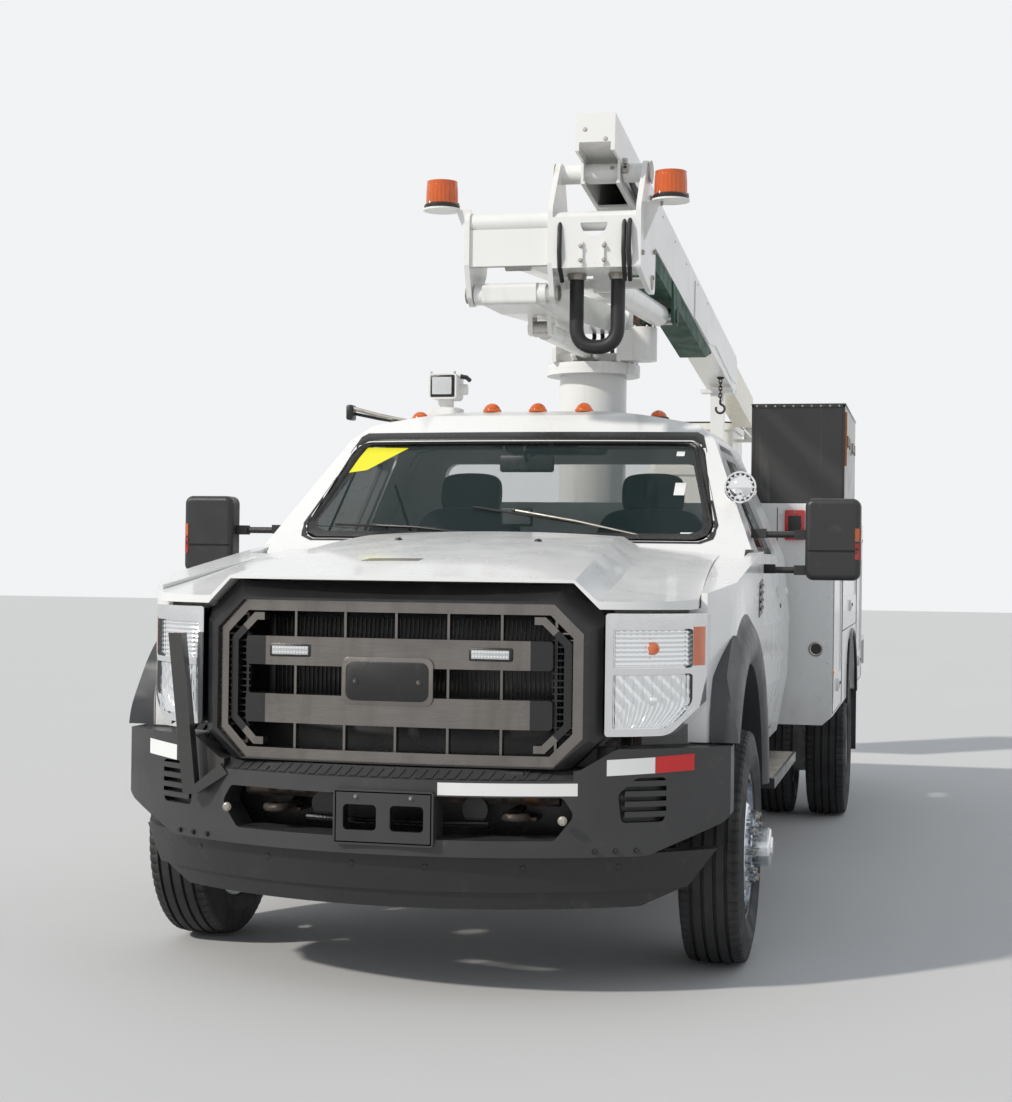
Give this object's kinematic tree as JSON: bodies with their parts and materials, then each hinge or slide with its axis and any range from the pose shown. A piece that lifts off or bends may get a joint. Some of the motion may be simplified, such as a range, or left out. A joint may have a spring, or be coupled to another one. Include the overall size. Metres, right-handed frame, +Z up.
{
  "type": "cherry picker truck",
  "caption": "Conventional cab service truck with an elbow boom on a pedestal and a work bucket stowed behind the tail shelf.",
  "frame": {"origin": "on the road, under the middle of the truck's length and width", "axes": "+X to the driver's side (the left of someone driving), +Y rearward, +Z up"},
  "size_m": [2.76, 8.278, 3.1444],
  "materials": {
    "white_paint": "gloss",
    "boom_paint": "semi gloss",
    "black_metal": "satin",
    "frame_black": "matt",
    "aluminium": "satin",
    "pewter": "brushed",
    "cast_iron": "rough",
    "steel": "brushed",
    "tyre": "matt",
    "dark_plastic": "matt",
    "hose_rubber": "matt",
    "grey_plastic": "matt",
    "clear_glass": "clear",
    "lamp_lens": "clear",
    "amber_lens": "clear",
    "red_lens": "clear",
    "seat_cloth": "woven",
    "fibreglass": "gel coat"
  },
  "bodies": {
    "chassis": {"chassis_frame": "frame_black", "engine_block": "cast_iron", "front_axle": "cast_iron", "rear_axle": "cast_iron", "fuel_tank": "steel", "cab_shell": "white_paint", "cab_glass": "clear_glass", "seats": "seat_cloth", "dashboard": "grey_plastic", "front_fenders": "white_paint", "grille_surround": "dark_plastic", "grille_insert": "pewter", "headlamps": "lamp_lens", "front_bumper": "dark_plastic", "roof_lamps": "amber_lens", "tail_lamps": "red_lens", "running_boards": "black_metal", "body_left": "white_paint", "body_right": "white_paint", "body_deck": "white_paint", "top_box": "black_metal", "pedestal": "boom_paint", "work_lights": "lamp_lens"},
    "hood": {"hood": "white_paint"},
    "turret": {"turret": "boom_paint"},
    "lower_boom": {"lower_boom": "boom_paint"},
    "comp_link": {"comp_link": "boom_paint"},
    "elbow": {"elbow": "boom_paint", "beacons": "amber_lens", "hose": "hose_rubber"},
    "upper_boom": {"upper_boom": "boom_paint"},
    "inner_boom": {"inner_boom": "fibreglass"},
    "bucket_mount": {"bucket_mount": "boom_paint"},
    "bucket": {"bucket": "fibreglass"},
    "lower_cylinder": {"lower_cylinder": "boom_paint"},
    "lower_cylinder_rod": {"lower_cylinder_rod": "steel"},
    "upper_cylinder": {"upper_cylinder": "boom_paint"},
    "upper_cylinder_rod": {"upper_cylinder_rod": "steel"},
    "door_left": {"door_left": "white_paint", "door_glass_left": "clear_glass", "mirror_left": "dark_plastic"},
    "knuckle_left": {"knuckle_left": "cast_iron"},
    "wheel_front_left": {"tyre_front_left": "tyre", "wheel_front_left": "aluminium"},
    "wheels_rear_left": {"tyres_rear_left": "tyre", "wheels_rear_left": "aluminium"},
    "body_door_left_front": {"body_door_left_front": "white_paint"},
    "body_door_left_middle": {"body_door_left_middle": "white_paint"},
    "body_door_left_rear": {"body_door_left_rear": "white_paint"},
    "door_right": {"door_right": "white_paint", "door_glass_right": "clear_glass", "mirror_right": "dark_plastic"},
    "knuckle_right": {"knuckle_right": "cast_iron"},
    "wheel_front_right": {"tyre_front_right": "tyre", "wheel_front_right": "aluminium"},
    "wheels_rear_right": {"tyres_rear_right": "tyre", "wheels_rear_right": "aluminium"},
    "body_door_right_front": {"body_door_right_front": "white_paint"},
    "body_door_right_middle": {"body_door_right_middle": "white_paint"},
    "body_door_right_rear": {"body_door_right_rear": "white_paint"}
  },
  "joints": [
    {"name": "steer_left", "type": "hinge", "parent": "chassis", "child": "knuckle_left", "pos_m": [0.8, -3.141, 0.405], "axis": [0, 0, 1], "range_deg": [-32, 32]},
    {"name": "front_wheel_left", "type": "hinge", "parent": "knuckle_left", "child": "wheel_front_left", "pos_m": [0.94, -3.141, 0.405], "axis": [1, 0, 0], "continuous": true},
    {"name": "rear_wheels_left", "type": "hinge", "parent": "chassis", "child": "wheels_rear_left", "pos_m": [0.935, 1.05, 0.405], "axis": [1, 0, 0], "continuous": true},
    {"name": "door_left", "type": "hinge", "parent": "chassis", "child": "door_left", "pos_m": [1.012, -2.457, 1.1], "axis": [0, 0, -1], "range_deg": [0, 65]},
    {"name": "body_door_left_front", "type": "hinge", "parent": "chassis", "child": "body_door_left_front", "pos_m": [1.2, -0.88, 1.17], "axis": [0, 0, -1], "range_deg": [0, 95]},
    {"name": "body_door_left_middle", "type": "hinge", "parent": "chassis", "child": "body_door_left_middle", "pos_m": [1.2, 0.759, 1.634], "axis": [0, -1, 0], "range_deg": [0, 95]},
    {"name": "body_door_left_rear", "type": "hinge", "parent": "chassis", "child": "body_door_left_rear", "pos_m": [1.2, 2.368, 1.17], "axis": [0, 0, 1], "range_deg": [0, 95]},
    {"name": "steer_right", "type": "hinge", "parent": "chassis", "child": "knuckle_right", "pos_m": [-0.8, -3.141, 0.405], "axis": [0, 0, 1], "range_deg": [-32, 32]},
    {"name": "front_wheel_right", "type": "hinge", "parent": "knuckle_right", "child": "wheel_front_right", "pos_m": [-0.94, -3.141, 0.405], "axis": [1, 0, 0], "continuous": true},
    {"name": "rear_wheels_right", "type": "hinge", "parent": "chassis", "child": "wheels_rear_right", "pos_m": [-0.935, 1.05, 0.405], "axis": [1, 0, 0], "continuous": true},
    {"name": "door_right", "type": "hinge", "parent": "chassis", "child": "door_right", "pos_m": [-1.012, -2.457, 1.1], "axis": [0, 0, 1], "range_deg": [0, 65]},
    {"name": "body_door_right_front", "type": "hinge", "parent": "chassis", "child": "body_door_right_front", "pos_m": [-1.2, -0.88, 1.17], "axis": [0, 0, 1], "range_deg": [0, 95]},
    {"name": "body_door_right_middle", "type": "hinge", "parent": "chassis", "child": "body_door_right_middle", "pos_m": [-1.2, 0.759, 1.634], "axis": [0, 1, 0], "range_deg": [0, 95]},
    {"name": "body_door_right_rear", "type": "hinge", "parent": "chassis", "child": "body_door_right_rear", "pos_m": [-1.2, 2.368, 1.17], "axis": [0, 0, -1], "range_deg": [0, 95]},
    {"name": "hood", "type": "hinge", "parent": "chassis", "child": "hood", "pos_m": [0, -2.593, 1.475], "axis": [-1, 0, 0], "range_deg": [0, 50]},
    {"name": "turret", "type": "hinge", "parent": "chassis", "child": "turret", "pos_m": [0, -0.591, 2.352], "axis": [0, 0, 1], "continuous": true},
    {"name": "lower_boom", "type": "hinge", "parent": "turret", "child": "lower_boom", "pos_m": [0, -0.381, 2.61], "axis": [-1, 0, 0], "range_deg": [0, 85]},
    {"name": "comp_link", "type": "hinge", "parent": "turret", "child": "comp_link", "pos_m": [0, -0.261, 2.758], "axis": [-1, 0, 0], "range_deg": [0, 85]},
    {"name": "elbow", "type": "hinge", "parent": "lower_boom", "child": "elbow", "pos_m": [0, -2.441, 2.455], "axis": [-1, 0, 0], "range_deg": [-85, 0]},
    {"name": "upper_boom", "type": "hinge", "parent": "elbow", "child": "upper_boom", "pos_m": [0.35, -2.341, 2.945], "axis": [1, 0, 0], "range_deg": [0, 80]},
    {"name": "inner_boom", "type": "slide", "parent": "upper_boom", "child": "inner_boom", "axis": [0, 0.9953, -0.0967], "range_m": [0, 2.6]},
    {"name": "bucket_mount", "type": "hinge", "parent": "inner_boom", "child": "bucket_mount", "pos_m": [0.35, 3.37499, 2.41972], "axis": [1, 0, 0], "range_deg": [-80, 0]},
    {"name": "bucket", "type": "hinge", "parent": "bucket_mount", "child": "bucket", "pos_m": [0.355, 3.759, 2.3], "axis": [0, 0, -1], "range_deg": [0, 180]},
    {"name": "lower_cylinder", "type": "hinge", "parent": "turret", "child": "lower_cylinder", "pos_m": [0, -0.811, 2.42], "axis": [-1, 0, 0], "range_deg": [0, 95.09]},
    {"name": "lower_cylinder_rod", "type": "slide", "parent": "lower_cylinder", "child": "lower_cylinder_rod", "axis": [0, -0.9996, -0.0272], "range_m": [0, 0.5993]},
    {"name": "upper_cylinder", "type": "hinge", "parent": "elbow", "child": "upper_cylinder", "pos_m": [0.35, -2.241, 2.52], "axis": [1, 0, 0], "range_deg": [0, 72.66]},
    {"name": "upper_cylinder_rod", "type": "slide", "parent": "upper_cylinder", "child": "upper_cylinder_rod", "axis": [0, 0.9991, 0.043], "range_m": [0, 0.5106]}
  ],
  "couplings": [
    {"joint": "steer_right", "follows": "steer_left", "ratio": 1},
    {"joint": "comp_link", "follows": "lower_boom", "ratio": 1},
    {"joint": "elbow", "follows": "lower_boom", "ratio": -1},
    {"joint": "bucket_mount", "follows": "upper_boom", "ratio": -1},
    {"joint": "lower_cylinder", "follows": "lower_boom", "ratio": 1.1128},
    {"joint": "lower_cylinder_rod", "follows": "lower_boom", "m_per_rad": 0.40265},
    {"joint": "upper_cylinder", "follows": "upper_boom", "ratio": 0.90203},
    {"joint": "upper_cylinder_rod", "follows": "upper_boom", "m_per_rad": 0.36427}
  ]
}
